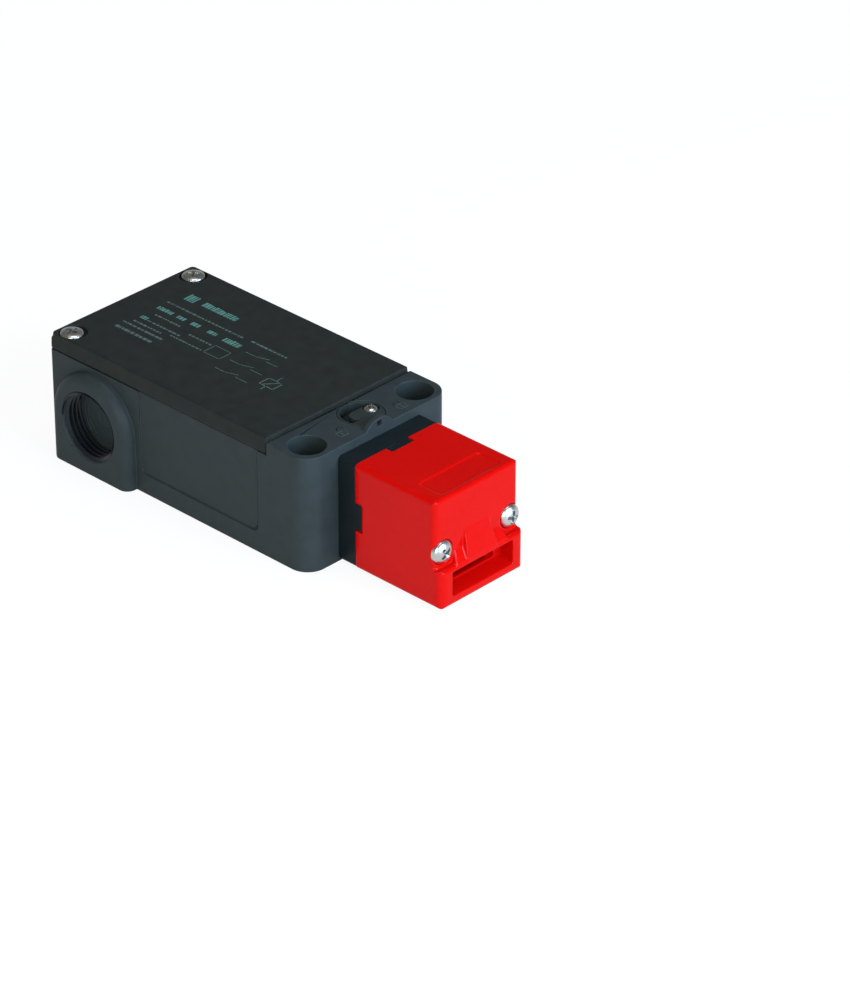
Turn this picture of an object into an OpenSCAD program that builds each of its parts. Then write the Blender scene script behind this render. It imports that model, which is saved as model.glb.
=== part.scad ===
// Guard-locking interlock switch with a solenoid.
// The origin is midway between the two mounting holes, on the mounting face.
// +X points to the key head, +Y to the far side and +Z to the terminal cover.

/* [Housing] */
// Length of the housing moulding without the collar and the head
housing_l = 98; // [90:0.5:110]
// Width of the housing moulding
housing_w = 54; // [50:0.5:70]
// Room between the solenoid's frame and the line where the cover meets the housing
head_room = 1.4; // [1:0.1:4]
// Rise of the front block above that parting line
block_rise = 3.5; // [2.8:0.1:6]
// Length of the front block that the cover leaves free
block_l = 15; // [14.5:0.5:20]
// Thickness of the side walls
side_wall = 3.5; // [3:0.1:5]
// Thickness of the rear wall
rear_wall = 8.6; // [8.5:0.1:12]
// Thickness of the floor
floor_t = 3; // [2:0.1:4]
// Thickness of the wall between the wiring space and the front block's end
front_wall = 17.5; // [17.2:0.1:20]
// Radius of the rear corners
rear_corner_r = 1; // [0.8:0.1:3]
// Radius of the front corners
front_corner_r = 6; // [3:0.5:6.5]
// Depth of the shallow panels in the side walls
panel_depth = 0.4; // [0.2:0.1:1]
// Edge left around the panels, below and in front
panel_edge = 6.2; // [4:0.1:9]

/* [Mounting holes] */
// Distance of the mounting holes from the housing's sides
mount_inset = 7; // [6.5:0.1:9]
// Radius of the mounting holes
mount_hole_r = 2.65; // [2.2:0.05:3]
// Radius of the counterbores
mount_bore_r = 5.1; // [4.6:0.1:5.2]
// Height of the counterbore floors above the mounting face
mount_seat_h = 20; // [18.5:0.5:28]
// Distance of the holes from the housing's front
mount_setback = 6.8; // [6.4:0.1:7.4]

/* [Cable entries] */
// Radius of the cable entries, for an M20 gland
entry_r = 10; // [8:0.25:10]
// Depth of the entries down to their knock-out walls
entry_depth = 7; // [5:0.5:8]
// Thickness of the knock-out walls
knockout_t = 1.2; // [0.8:0.1:1.5]
// Distance of the side entries from the rear face
entry_x = 17.9; // [16.5:0.1:20]
// Height of the entries above the mounting face
entry_h = 14.7; // [14:0.1:16]
// Radius of the arched pads around the side entries
pad_r = 15; // [13:0.25:15.5]
// Height of the arched pads above the side walls
pad_t = 3.6; // [3.2:0.1:5]
// Radius of the rounded edge of the pads
pad_round_r = 3; // [1:0.1:3.2]

/* [Cover] */
// Rise of the cover's top above the parting line
cover_rise = 4.8; // [4.4:0.1:7]
// Thickness of the cover's top
cover_t = 2.1; // [1.5:0.1:2.4]
// Thickness of the cover's skirt
skirt_t = 1.9; // [1.4:0.1:2]
// Gap between the skirt and the housing, seen as a dark line
parting_gap = 0.25; // [0.1:0.05:0.4]
// Gap between the cover's front edge and the front block
seam_gap = 0.35; // [0.2:0.05:0.6]
// Distance that the cover's sides lean in towards its top
side_lean = 0.7; // [0.2:0.1:1.2]
// Distance of the cover screws from the rear and side faces
cover_screw_inset = 4.1; // [4:0.1:5]
// Radius of the cover screw heads
cover_head_r = 3.4; // [3:0.1:3.5]
// Inner radius of the notches for the cover screw heads
cover_pocket_r = 4.3; // [3.9:0.05:4.5]
// Depth of the notches for the cover screw heads
cover_pocket_d = 1.4; // [0.8:0.1:1.5]
// Radius of the cover screws' shanks
cover_shank_r = 1.75; // [1.4:0.05:2]
// Width of the gasket under the cover
gasket_w = 1.2; // [0.8:0.1:1.4]

/* [Key head] */
// Side of the square key head and of the collar
head_side = 31.5; // [30.6:0.1:31.8]
// Gap between the head's underside and the plane of the mounting face
head_lift = 0.5; // [0.3:0.1:1.5]
// Length of the collar between the housing and the head
collar_l = 6.2; // [5:0.1:8]
// Length of the head from the collar to its upper front face
head_l = 28.6; // [28:0.1:32]
// Distance that the lower lip stands in front of the upper face
lip_l = 2.4; // [0.5:0.1:2.6]
// Height of the lip above the head's underside
lip_h = 11.3; // [10.5:0.1:11.6]
// Radius of the long edges of the head
head_edge_r = 1.4; // [1:0.1:3]
// Radius of the lip's upright front edges
lip_corner_r = 2.4; // [1:0.1:3]
// Thickness of the walls beside the key mouth
mouth_wall = 4.4; // [4:0.1:5.6]
// Height of the key mouth
mouth_h = 7.3; // [6:0.1:7.6]
// Height of the mouth's floor above the head's underside
mouth_floor = 2.7; // [2:0.1:3]
// Depth of the mouth to the key slot
mouth_depth = 4.8; // [4.5:0.1:5]
// Distance of the head screws from the head's sides
head_screw_inset = 3.2; // [3:0.1:3.3]
// Radius of the head screws' heads
head_screw_r = 3.3; // [2.8:0.1:3.4]
// Radius of the head screws' shanks
head_shank_r = 1.75; // [1.4:0.05:1.9]
// Width of the collar's tabs
tab_w = 8; // [5:0.1:10]
// Length of the collar's tabs
tab_l = 2.2; // [1:0.1:2.6]
// Depth of the label field in the head's top
label_depth = 0.35; // [0.2:0.05:0.8]

/* [Key drive] */
// Distance of the cam's axle from the head's rear face
cam_x = 13.8; // [13.6:0.1:14.4]
// Radius of the cam's crank pin circle
crank_r = 4.6; // [4.2:0.1:4.8]
// Angle that the key turns the cam through
cam_turn = 60; // [40:1:60]
// Gap between the cam plates and the roof of the head's hollow
cam_gap = 0.9; // [0.5:0.1:1.5]
// Reach of the cam's key lobes beyond its plates
lobe_reach = 5; // [4:0.1:5.2]
// Radius of the cam's axle
axle_r = 1.5; // [1.2:0.05:1.7]
// Radius of the drive rod
rod_r = 3; // [2.6:0.05:3.2]
// Radial running clearance of shafts in their bores
run_gap = 0.08; // [0.05:0.01:0.1]

/* [Release] */
// Distance of the release rotor's axis from the middle plane
release_y = 1.7; // [1:0.1:2.2]
// Distance of the release rotor's axis from the housing's front
release_setback = 8.6; // [8.2:0.1:9]
// Depth of the roof of the bolt arm's channel below the front block's top
release_depth = 9.5; // [9.2:0.1:10]
// Radius of the release rotor
release_r = 6.4; // [5.5:0.1:6.45]
// Width of the grip bar
grip_w = 4.4; // [3:0.1:5]
// Offset of the rotor's eccentric pin
pin_offset = 1.25; // [1:0.05:1.4]
// Radius of the eccentric pin
pin_r = 1.2; // [0.9:0.05:1.3]

/* [Solenoid] */
// Distance of the solenoid's axis from the front block's rear wall
solenoid_back = 11.5; // [11:0.1:13]
// Gap between the drive rod and the solenoid's frame
frame_gap = 4; // [3.8:0.1:5]
// Thickness of the frame's strip
strip_t = 1.5; // [1:0.1:2]
// Width of the frame's strip
strip_w = 12; // [10:0.1:13]
// Room between the coil winding and the frame's strips
coil_room = 2.3; // [1.2:0.1:3.5]
// Radius of the armature
armature_r = 3.8; // [3:0.1:4]
// Width of the locking bolt's nose
bolt_w = 4; // [3:0.1:4.4]

/* [Contacts] */
// Length of the contact block
case_l = 22; // [21:0.5:23]
// Width of the contact block
case_w = 24; // [23:0.5:26]
// Height of the contact block
case_h = 24; // [23.5:0.5:26]
// Distance between the two contact bridges
bridge_pitch = 7; // [6.8:0.1:7.4]
// Thickness of the contact strips
contact_t = 0.8; // [0.5:0.1:1]

/* [Hidden] */
$fn = 64;
eps = 0.02;
seat_gap = 0.05;
rear_x = mount_setback - housing_l;
front_x = mount_setback;
seam_x = front_x - block_l;
half_w = housing_w / 2;
head_half = head_side / 2;
axis_h = head_lift + head_half;
parting_h = 2 * axis_h - floor_t + head_room;
block_h = parting_h + block_rise;
cover_h = parting_h + cover_rise;
mount_y = half_w - mount_inset;
cavity_x0 = rear_x + rear_wall;
cavity_x1 = front_x - front_wall;
cavity_y = half_w - side_wall;
collar_x = front_x;
head_x = collar_x + collar_l;
face_x = head_x + head_l;
lip_x = face_x + lip_l;
head_z0 = axis_h - head_half;
head_z1 = axis_h + head_half;
mouth_w = head_side - 2 * mouth_wall;
head_screw_y = head_half - head_screw_inset;
screw_x = rear_x + cover_screw_inset;
screw_y = half_w - cover_screw_inset - 0.3;
pocket_z = cover_h - cover_pocket_d;
stroke = 2 * crank_r * sin(cam_turn / 2);
cam_z = axis_h + crank_r * (1 + cos(cam_turn / 2)) / 2;
cam_axis_x = head_x + cam_x;
head_wall = 3.6;
cam_r = head_z1 - head_wall - cam_gap - cam_z;
lobe_r = cam_r + lobe_reach;
crank_pin_r = 1.6;
rod_end_x = cam_axis_x + crank_r * sin(cam_turn / 2) - crank_pin_r - 0.2;
flange_x = head_x + 3.2;
flange_t = 1.5;
flange_r = rod_r + 2;
spring_bore_r = flange_r + 0.25;
plate_y0 = rod_r + 0.6;
plate_t = 3.2;
cam_half = plate_y0 + plate_t;
head_cavity_y = cam_half + 0.5;
release_x = front_x - release_setback;
release_travel = 2 * pin_offset;
channel_z1 = block_h - release_depth;
clip_t = 0.5;
stem_r = 3.5;
stem_z0 = channel_z1 - 1.3;
arm_z0 = channel_z1 - 2.9;
arm_t = 1.3;
pin_z1 = channel_z1 + 1.5;
tab_gap = 0.36;
solenoid_x = cavity_x1 - solenoid_back;
coil_r = axis_h - floor_t - strip_t - coil_room;
frame_y0 = 0.5 - cavity_y;
frame_y1 = -rod_r - frame_gap;
bolt_tip_y = -rod_r - 0.15;
armature_y1 = frame_y1 + 1.2;
armature_l = frame_y1 - frame_y0 - 5;
case_x1 = solenoid_x - coil_r - 0.7;
case_x0 = case_x1 - case_l;
case_z1 = floor_t + case_h;
carrier_y = 3.9;
carrier_z0 = axis_h - 4.1;
carrier_z1 = axis_h + 4.1;
carrier_x1 = case_x1 + 2;
bridge_x1 = case_x1 - 3.4;
bridge_x = [bridge_x1 - bridge_pitch, bridge_x1];
window_y = case_w / 2 - 2.4;

// Rectangle from x0 to x1 and y0 to y1 whose four corners have the radius r.
module soft_rect(x0, x1, y0, y1, r) {
    translate([x0 + r, y0]) square([x1 - x0 - 2 * r, y1 - y0]);
    translate([x0, y0 + r]) square([x1 - x0, y1 - y0 - 2 * r]);
    for (x = [x0 + r, x1 - r], y = [y0 + r, y1 - r]) translate([x, y]) circle(r);
}

// Box from one corner to the opposite one.
module block(low, high) {
    translate(low) cube(high - low);
}

// Cylinders along the row axes, from their first end.
module rod_x(r, x0, x1, y, z) {
    translate([x0, y, z]) rotate([0, 90, 0]) cylinder(h = x1 - x0, r = r);
}

module rod_y(r, y0, y1, x, z) {
    translate([x, y1, z]) rotate([90, 0, 0]) cylinder(h = y1 - y0, r = r);
}

module rod_z(r, z0, z1, x, y) {
    translate([x, y, z0]) cylinder(h = z1 - z0, r = r);
}

// Helical wire spring along Z: a ring of points is carried round the helix.
module coil_spring(r, wire_r, length, turns) {
    sides = 8;
    steps = 24;
    count = turns * steps;
    rise = (length - 2 * wire_r) / count;
    points = [for (i = [0:count]) for (j = [0:sides - 1])
        let (turn = 360 * i / steps, tilt = 360 * j / sides, reach = r + wire_r * cos(tilt))
        [reach * cos(turn), reach * sin(turn), wire_r + i * rise + wire_r * sin(tilt)]];
    walls = [for (i = [0:count - 1]) for (j = [0:sides - 1])
        let (k = (j + 1) % sides)
        [i * sides + j, i * sides + k, (i + 1) * sides + k, (i + 1) * sides + j]];
    first = [[for (j = [sides - 1:-1:0]) j]];
    last = [[for (j = [0:sides - 1]) count * sides + j]];
    polyhedron(points = points, faces = concat(walls, first, last), convexity = 10);
}

// Pan-head screw pointing down, with its seat at z = 0: a disc under a part of a sphere,
// with a cross recess, above a plain shank.
module pan_screw(head_r, head_t, shank_r, shank_l) {
    dome_r = (head_r * head_r + head_t * head_t) / (2 * head_t);
    difference() {
        union() {
            intersection() {
                cylinder(h = head_t, r = head_r);
                translate([0, 0, head_t - dome_r - 0.15 * head_t]) sphere(dome_r * 1.12, $fn = 48);
            }
            translate([0, 0, -shank_l]) cylinder(h = shank_l + eps, r = shank_r);
        }
        for (a = [0, 90]) rotate(a) translate([0, 0, head_t])
            cube([head_r * 1.15, head_r * 0.24, head_t * 1.1], center = true);
    }
}

// Outline of the housing seen from above, set in by inset.
module housing_plan(inset = 0) {
    x0 = rear_x + inset;
    x1 = front_x - inset;
    y1 = half_w - inset;
    rear = max(rear_corner_r - inset, 0.4);
    front = front_corner_r - inset;
    translate([x0 + rear, -y1]) square([x1 - x0 - rear - front, 2 * y1]);
    translate([x0, rear - y1]) square([x1 - x0 - front, 2 * (y1 - rear)]);
    translate([x1 - front - 1, front - y1]) square([front + 1, 2 * (y1 - front)]);
    for (side = [-1, 1]) {
        translate([x0 + rear, side * (y1 - rear)]) circle(rear);
        translate([x1 - front, side * (y1 - front)]) circle(front);
    }
}

// Half section of an entry pad: flat top, rounded edge.
module pad_profile() {
    square([pad_r - pad_round_r, pad_t]);
    square([pad_r, pad_t - pad_round_r + eps]);
    translate([pad_r - pad_round_r, pad_t - pad_round_r]) circle(pad_round_r);
}

// Arched pad on the near wall: a half turn over straight legs that reach the mounting face.
module entry_pad() {
    intersection() {
        translate([rear_x + entry_x, -half_w + 1, entry_h]) rotate([90, 0, 0]) {
            translate([0, 0, 1]) {
                rotate_extrude(angle = 180) intersection() {
                    pad_profile();
                    square([pad_r, pad_t]);
                }
                for (side = [0, 1]) mirror([side, 0, 0])
                    rotate([90, 0, 0]) linear_extrude(entry_h) intersection() {
                        pad_profile();
                        square([pad_r, pad_t]);
                    }
            }
            cylinder(h = 1 + eps, r = pad_r);
        }
        block([rear_x, -half_w - pad_t - 1, 0], [seam_x, 0, parting_h]);
    }
}

// Thick wall behind a side entry, which carries its knock-out wall.
module entry_backing() {
    depth = entry_depth + knockout_t - pad_t;
    rod_y(entry_r + 1.8, -half_w + 1, -half_w + depth, rear_x + entry_x, entry_h);
}

// Blind hole of one cable entry along -Z, from a mouth at z = 0 that is chamfered.
module entry_hole() {
    chamfer = 0.5;
    translate([0, 0, -entry_depth]) cylinder(h = entry_depth + 1, r = entry_r);
    translate([0, 0, -chamfer]) cylinder(h = chamfer + eps, r1 = entry_r, r2 = entry_r + chamfer);
}

// Lug on the front block's top edge with the hole for a seal wire.
module seal_lug() {
    rise = 2.6;
    half_chord = 4.95;
    lug_r = (half_chord * half_chord + rise * rise) / (2 * rise);
    lug_t = 1.6;
    intersection() {
        rod_x(lug_r, front_x - lug_t, front_x, 0, block_h + rise - lug_r);
        block([front_x - lug_t, -half_chord, block_h - 1], [front_x, half_chord, block_h + rise]);
    }
}

module housing() {
    hole = 1.5;
    color([0.24, 0.28, 0.31])
    difference() {
        union() {
            linear_extrude(parting_h) housing_plan();
            intersection() {
                linear_extrude(block_h) housing_plan();
                block([seam_x, -half_w, 0], [front_x, half_w, block_h]);
            }
            for (side = [0, 1]) mirror([0, side, 0]) entry_pad();
            seal_lug();
        }
        difference() {
            block([cavity_x0, -cavity_y, floor_t], [cavity_x1, cavity_y, parting_h + 1]);
            for (side = [0, 1]) mirror([0, side, 0]) entry_backing();
        }
        for (side = [-1, 1]) {
            translate([rear_x + entry_x, side * (half_w + pad_t), entry_h])
                rotate([-side * 90, 0, 0]) entry_hole();
            rod_z(cover_shank_r, parting_h - 12, parting_h + 1, screw_x, side * screw_y);
            rod_z(mount_hole_r, -1, mount_seat_h + 1, 0, side * mount_y);
            rod_z(mount_bore_r, mount_seat_h, block_h + 1, 0, side * mount_y);
            rod_x(head_shank_r, front_x - 9, front_x + 1, side * head_screw_y, axis_h);
        }
        translate([rear_x, 0, entry_h]) rotate([0, -90, 0]) entry_hole();
        side_panels();
        rod_x(rod_r + run_gap, cavity_x1 - 1, front_x + 1, 0, axis_h);
        release_well();
        block([front_x - 3, -hole / 2, block_h + 0.1], [front_x + 1, hole / 2, block_h + 0.1 + hole]);
        for (y = [-8, 8]) rod_z(1.2, -1, floor_t + 1, (case_x0 + case_x1) / 2, y);
        for (side = [-1, 1]) block([seam_x - 1, side * 14 - 4, parting_h - 0.3],
            [seam_x + 1.6, side * 14 + 4, parting_h + 2.4]);
    }
}

// Shallow panels with round corners in both side walls, open up to the parting line.
module side_panels() {
    x0 = rear_x + entry_x + pad_r + 1.9;
    x1 = seam_x - 3.5;
    for (side = [-1, 1]) translate([0, side * half_w, 0]) rotate([90, 0, 0])
        translate([0, 0, -panel_depth]) linear_extrude(2 * panel_depth)
            soft_rect(x0, x1, panel_edge, parting_h + 4, 2);
}

// Well of the release rotor, and the channel in which its pin works the bolt's arm.
module release_well() {
    rod_z(release_r + run_gap, channel_z1 + 2.6, block_h + 1, release_x, release_y);
    rod_z(stem_r + run_gap, channel_z1 - 1, channel_z1 + 3, release_x, release_y);
    block([cavity_x1 - 1, frame_y1 - 2.6, arm_z0 - 0.3],
        [release_x + 5.6, release_y + 5.6, channel_z1]);
}

// Cover: a shallow tray whose long sides lean in, with a notch for a screw at each rear corner.
module cover() {
    z0 = parting_h + parting_gap;
    x1 = seam_x - seam_gap;
    rise = cover_h - z0;
    color([0.17, 0.18, 0.18])
    difference() {
        union() {
            intersection() {
                translate([0, 0, z0]) linear_extrude(rise) intersection() {
                    housing_plan();
                    translate([rear_x, -half_w]) square([x1 - rear_x, housing_w]);
                }
                rotate([90, 0, 90]) translate([0, 0, rear_x]) linear_extrude(x1 - rear_x)
                    polygon([[-half_w, z0], [half_w, z0], [half_w - side_lean, cover_h],
                        [side_lean - half_w, cover_h]]);
            }
            for (side = [-1, 1]) block([x1 - 1, side * 14 - 3.7, z0 + 0.2],
                [seam_x + 1.3, side * 14 + 3.7, z0 + 1.6]);
        }
        difference() {
            block([rear_x + skirt_t, skirt_t - half_w, z0 - 1],
                [x1 - skirt_t, half_w - skirt_t, cover_h - cover_t]);
            for (side = [-1, 1]) rod_z(cover_head_r + 0.6, z0, cover_h, screw_x, side * screw_y);
        }
        for (side = [0, 1]) mirror([0, side, 0]) {
            screw_notch();
            rod_z(cover_shank_r + 0.15, z0 - 1, cover_h, screw_x, screw_y);
        }
    }
}

// Notch for a cover screw's head: a round pocket that is open to the rear and to the side.
module screw_notch() {
    rod_z(cover_pocket_r, pocket_z, cover_h + 1, screw_x, screw_y);
    block([rear_x - 1, screw_y - cover_pocket_r, pocket_z], [screw_x, half_w + 1, cover_h + 1]);
    block([rear_x - 1, screw_y, pocket_z], [screw_x + cover_pocket_r, half_w + 1, cover_h + 1]);
}

// Outline of the gasket's outer edge, set in by inset, which passes inside the screw pockets.
module gasket_outline(inset = 0) {
    x0 = rear_x + skirt_t + seat_gap + inset;
    x1 = seam_x - seam_gap - skirt_t - seat_gap - inset;
    y1 = half_w - skirt_t - seat_gap - inset;
    difference() {
        translate([x0, -y1]) square([x1 - x0, 2 * y1]);
        for (side = [-1, 1]) translate([screw_x, side * screw_y])
            circle(cover_head_r + 0.6 + seat_gap + inset);
    }
}

// Gasket between the housing's rim and the underside of the cover.
module cover_gasket() {
    color([0.1, 0.1, 0.1])
    translate([0, 0, parting_h]) linear_extrude(cover_h - cover_t - parting_h) difference() {
        gasket_outline();
        gasket_outline(gasket_w);
    }
}

module cover_screws() {
    color([0.75, 0.76, 0.77])
    for (side = [-1, 1]) translate([screw_x, side * screw_y, pocket_z])
        rotate(side * 20) pan_screw(cover_head_r, 2.4, cover_shank_r, pocket_z - parting_h + 11);
}

// Square outline of the head and the collar in the YZ plane, drawn in the XY plane.
module head_outline(inset = 0) {
    soft_rect(-head_half + inset, head_half - inset, head_z0 + inset, head_z1 - inset, head_edge_r);
}

// Extrudes a YZ outline along X from x0 to x1.
module along_x(x0, x1) {
    translate([x0, 0, 0]) rotate([90, 0, 90]) linear_extrude(x1 - x0) children();
}

module collar() {
    color([0.13, 0.15, 0.17])
    difference() {
        union() {
            along_x(collar_x, head_x) head_outline(0.1);
            for (a = [0:90:270]) translate([0, 0, axis_h]) rotate([a, 0, 0])
                block([head_x - 1, -tab_w / 2, head_half - 1.8],
                    [head_x + tab_l, tab_w / 2, head_half - 0.3]);
        }
        rod_x(spring_bore_r, collar_x - 1, head_x + 1, 0, axis_h);
        for (side = [-1, 1])
            rod_x(head_shank_r + 0.2, collar_x - 1, head_x + 3, side * head_screw_y, axis_h);
        along_x(head_x - 1, head_x + 1) seal_outline();
    }
}

// Ring outline of the seal between the collar and the head.
module seal_outline(inset = 0) {
    w = 0.9 - 2 * inset;
    y1 = head_cavity_y + 1.4 - inset;
    z1 = head_z1 - 2 - inset;
    z0 = head_z0 + 2 + inset;
    difference() {
        translate([-y1, z0]) square([2 * y1, z1 - z0]);
        translate([w - y1, z0 + w]) square([2 * (y1 - w), z1 - z0 - 2 * w]);
    }
}

module head_seal() {
    color([0.1, 0.1, 0.1])
    along_x(head_x - 1, head_x) seal_outline(0.05);
}

// Forward end of the head from z0 to z1, whose upright front edges have the radius r.
module face_part(x1, z0, z1, r) {
    front_r = 1.2;
    intersection() {
        translate([0, head_half + 1, 0]) rotate([90, 0, 0]) linear_extrude(head_side + 2)
            soft_rect(head_x - 4, x1, z0, z1, front_r);
        translate([0, 0, z0 - 1]) linear_extrude(z1 - z0 + 2)
            soft_rect(head_x - 4, x1, -head_half, head_half, r);
    }
}

// Solid form of the head: a square bar with soft edges, whose lower part stands forward.
module head_form() {
    intersection() {
        along_x(head_x, lip_x) head_outline();
        union() {
            face_part(face_x, head_z0 - 4, head_z1, 1);
            face_part(lip_x, head_z0, head_z0 + lip_h, lip_corner_r);
        }
    }
}

// Ramp that guides the key down into its slot: it grows out of the face above the lip.
module head_chin() {
    lip_z = head_z0 + lip_h;
    $fn = 32;
    hull() {
        block([face_x - 1, -4.6, lip_z + 7.6], [face_x + 0.02, 4.6, lip_z + 7.8]);
        block([face_x - 1, -5.6, lip_z - 1.2], [lip_x, 5.6, lip_z + 0.4]);
    }
    hull() {
        block([face_x - 1, -8.4, lip_z + 3.2], [face_x + 0.02, 8.4, lip_z + 3.4]);
        block([face_x - 1, -9.6, lip_z - 1.2], [lip_x - 0.3, 9.6, lip_z]);
    }
}

module key_head() {
    mouth_z0 = head_z0 + mouth_floor;
    mouth_z1 = mouth_z0 + mouth_h;
    cavity_x = lip_x - mouth_depth;
    seat_x = face_x - 2.4;
    color([0.8, 0.08, 0.06])
    difference() {
        union() {
            head_form();
            head_chin();
        }
        block([head_x - 1, -head_cavity_y, head_z0 + head_wall],
            [cavity_x - 1.2, head_cavity_y, head_z1 - head_wall]);
        block([cavity_x - 2, -mouth_w / 2 + 2.4, mouth_z0 + 1.4],
            [lip_x, mouth_w / 2 - 2.4, mouth_z1]);
        translate([0, mouth_w / 2, 0]) rotate([90, 0, 0]) linear_extrude(mouth_w)
            polygon([[cavity_x, mouth_z0 + 1.1], [lip_x + 1, mouth_z0 - 0.2],
                [lip_x + 1, mouth_z1], [cavity_x, mouth_z1]]);
        rod_y(axle_r, -head_cavity_y - 3, head_cavity_y + 3, cam_axis_x, cam_z);
        for (side = [-1, 1]) {
            rod_x(head_shank_r + 0.2, head_x - 1, face_x, side * head_screw_y, axis_h);
            rod_x(head_screw_r + 0.25, seat_x, lip_x + 1, side * head_screw_y, axis_h);
        }
        for (a = [0:90:270]) translate([0, 0, axis_h]) rotate([a, 0, 0])
            block([head_x - 1, -tab_w / 2 - 0.15, head_half - 2],
                [head_x + tab_l + 0.2, tab_w / 2 + 0.15, head_half + 1]);
        translate([0, 0, head_z1 - label_depth]) linear_extrude(1)
            soft_rect(face_x - 10.2, face_x - 1.7, -11.4, 11.4, 1.4);
    }
}

module head_screws() {
    color([0.75, 0.76, 0.77])
    for (side = [-1, 1]) translate([face_x - 2.4, side * head_screw_y, axis_h])
        rotate([0, 90, 0]) rotate(35 - 60 * side)
            pan_screw(head_screw_r, 2.5, head_shank_r, face_x - 2.4 - front_x + 8);
}

module cam_axle() {
    color([0.6, 0.61, 0.63])
    rod_y(axle_r, -head_cavity_y - 2.8, head_cavity_y + 2.8, cam_axis_x, cam_z);
}

// Cam with two plates: their lobes meet the key, and the pin between them drives the rod.
module key_cam() {
    color([0.55, 0.56, 0.58])
    translate([cam_axis_x, 0, cam_z]) rotate([0, -cam_turn / 2, 0]) difference() {
        union() {
            rod_y(axle_r + 0.9, -cam_half, cam_half, 0, 0);
            rod_y(crank_pin_r, -plate_y0 - 1, plate_y0 + 1, 0, -crank_r);
            for (side = [0, 1]) mirror([0, side, 0]) {
                rod_y(cam_r, plate_y0, cam_half, 0, 0);
                translate([0, cam_half, 0]) rotate([90, 0, 0]) linear_extrude(plate_t)
                    polygon([[-cam_r * 0.92, -cam_r * 0.38], [-1.7, 0.8 - lobe_r], [0, -lobe_r],
                        [1.7, 0.8 - lobe_r], [cam_r * 0.92, -cam_r * 0.38]]);
            }
        }
        rod_y(axle_r + run_gap, -cam_half - 1, cam_half + 1, 0, 0);
    }
}

// Drive rod from the cam's pin to the contact carrier, with a spring flange and a lock notch.
module drive_rod() {
    notch_x = solenoid_x + stroke;
    color([0.62, 0.63, 0.65])
    difference() {
        union() {
            rod_x(rod_r, carrier_x1, rod_end_x, 0, axis_h);
            rod_x(flange_r, flange_x, flange_x + flange_t, 0, axis_h);
        }
        block([cam_axis_x - 4, -rod_r - 1, cam_z - axle_r - 1.2],
            [rod_end_x + 1, rod_r + 1, cam_z + rod_r]);
        block([notch_x - bolt_w / 2 - 0.3, -rod_r - 1, axis_h - rod_r - 1],
            [notch_x + bolt_w / 2 + 0.3, 1.2 - rod_r, axis_h + rod_r + 1]);
    }
}

module rod_spring() {
    color([0.7, 0.71, 0.72])
    translate([front_x + seat_gap, 0, axis_h]) rotate([0, 90, 0])
        coil_spring(rod_r + 1.2, 0.4, flange_x - front_x - 2 * seat_gap, 5);
}

// Slide in the contact block that carries the two bridges.
module contact_carrier() {
    x0 = bridge_x[0] - 2.4;
    color([0.85, 0.83, 0.75])
    difference() {
        block([x0, -carrier_y, carrier_z0], [carrier_x1, carrier_y, carrier_z1]);
        for (x = bridge_x) block([x - 1.6, -carrier_y - 1, axis_h - 2.1],
            [x + contact_t, carrier_y + 1, axis_h + 2.1]);
    }
}

module contact_bridges() {
    color([0.8, 0.62, 0.3])
    for (x = bridge_x) {
        block([x, 0.4 - window_y, axis_h - 2], [x + contact_t, window_y - 0.4, axis_h + 2]);
        for (side = [-1, 1]) rod_x(1.1, x - 0.4, x + eps, side * (window_y - 1.8), axis_h);
    }
}

// Places of the four fixed contacts: the bridge's rest place less its stroke and tip.
function fixed_x(x) = x - stroke - 0.55 - contact_t;

module contact_case() {
    color([0.8, 0.78, 0.7])
    difference() {
        block([case_x0, -case_w / 2, floor_t], [case_x1, case_w / 2, case_z1]);
        block([fixed_x(bridge_x[0]) - 1.2, -carrier_y - 0.3, carrier_z0 - 0.3],
            [case_x1 + 1, carrier_y + 0.3, carrier_z1 + 0.3]);
        block([fixed_x(bridge_x[0]) - 0.8, -window_y, axis_h - 2.6],
            [bridge_x[1] + 1.4, window_y, axis_h + 2.6]);
        for (x = bridge_x, side = [0, 1]) mirror([0, side, 0]) {
            block([fixed_x(x) - 0.1, window_y - 3.5, axis_h], [fixed_x(x) + contact_t + 0.1,
                window_y - 0.1, case_z1]);
            block([fixed_x(x) - 0.3, window_y - 4.4, case_z1 - 3],
                [fixed_x(x) + 5.2, case_w / 2 + 1, case_z1 + 1]);
            rod_z(1.2, case_z1 - 6, case_z1, fixed_x(x) + 2.9, window_y - 2);
        }
        for (y = [-8, 8]) rod_z(1.2, floor_t - 1, floor_t + 4, (case_x0 + case_x1) / 2, y);
    }
}

module fixed_contacts() {
    color([0.8, 0.62, 0.3])
    for (x = bridge_x, side = [0, 1]) mirror([0, side, 0]) difference() {
        union() {
            block([fixed_x(x), window_y - 3.4, axis_h - 2], [fixed_x(x) + contact_t,
                window_y - 0.2, case_z1 - 3]);
            block([fixed_x(x), window_y - 4, case_z1 - 3],
                [fixed_x(x) + 4.9, case_w / 2 - 0.2, case_z1 - 3 + contact_t]);
        }
        rod_z(1.3, case_z1 - 4, case_z1, fixed_x(x) + 2.9, window_y - 2);
    }
}

module terminal_screws() {
    color([0.75, 0.76, 0.77])
    for (x = bridge_x, side = [-1, 1])
        translate([fixed_x(x) + 2.9, side * (window_y - 2), case_z1 - 3 + contact_t])
            pan_screw(2, 1.3, 1.2, 3.6);
}

// Screws that hold the contact block from below the floor.
module case_screws() {
    color([0.75, 0.76, 0.77])
    for (y = [-8, 8]) rod_z(1.2, floor_t - 2.6, floor_t + 4, (case_x0 + case_x1) / 2, y);
}

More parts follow.
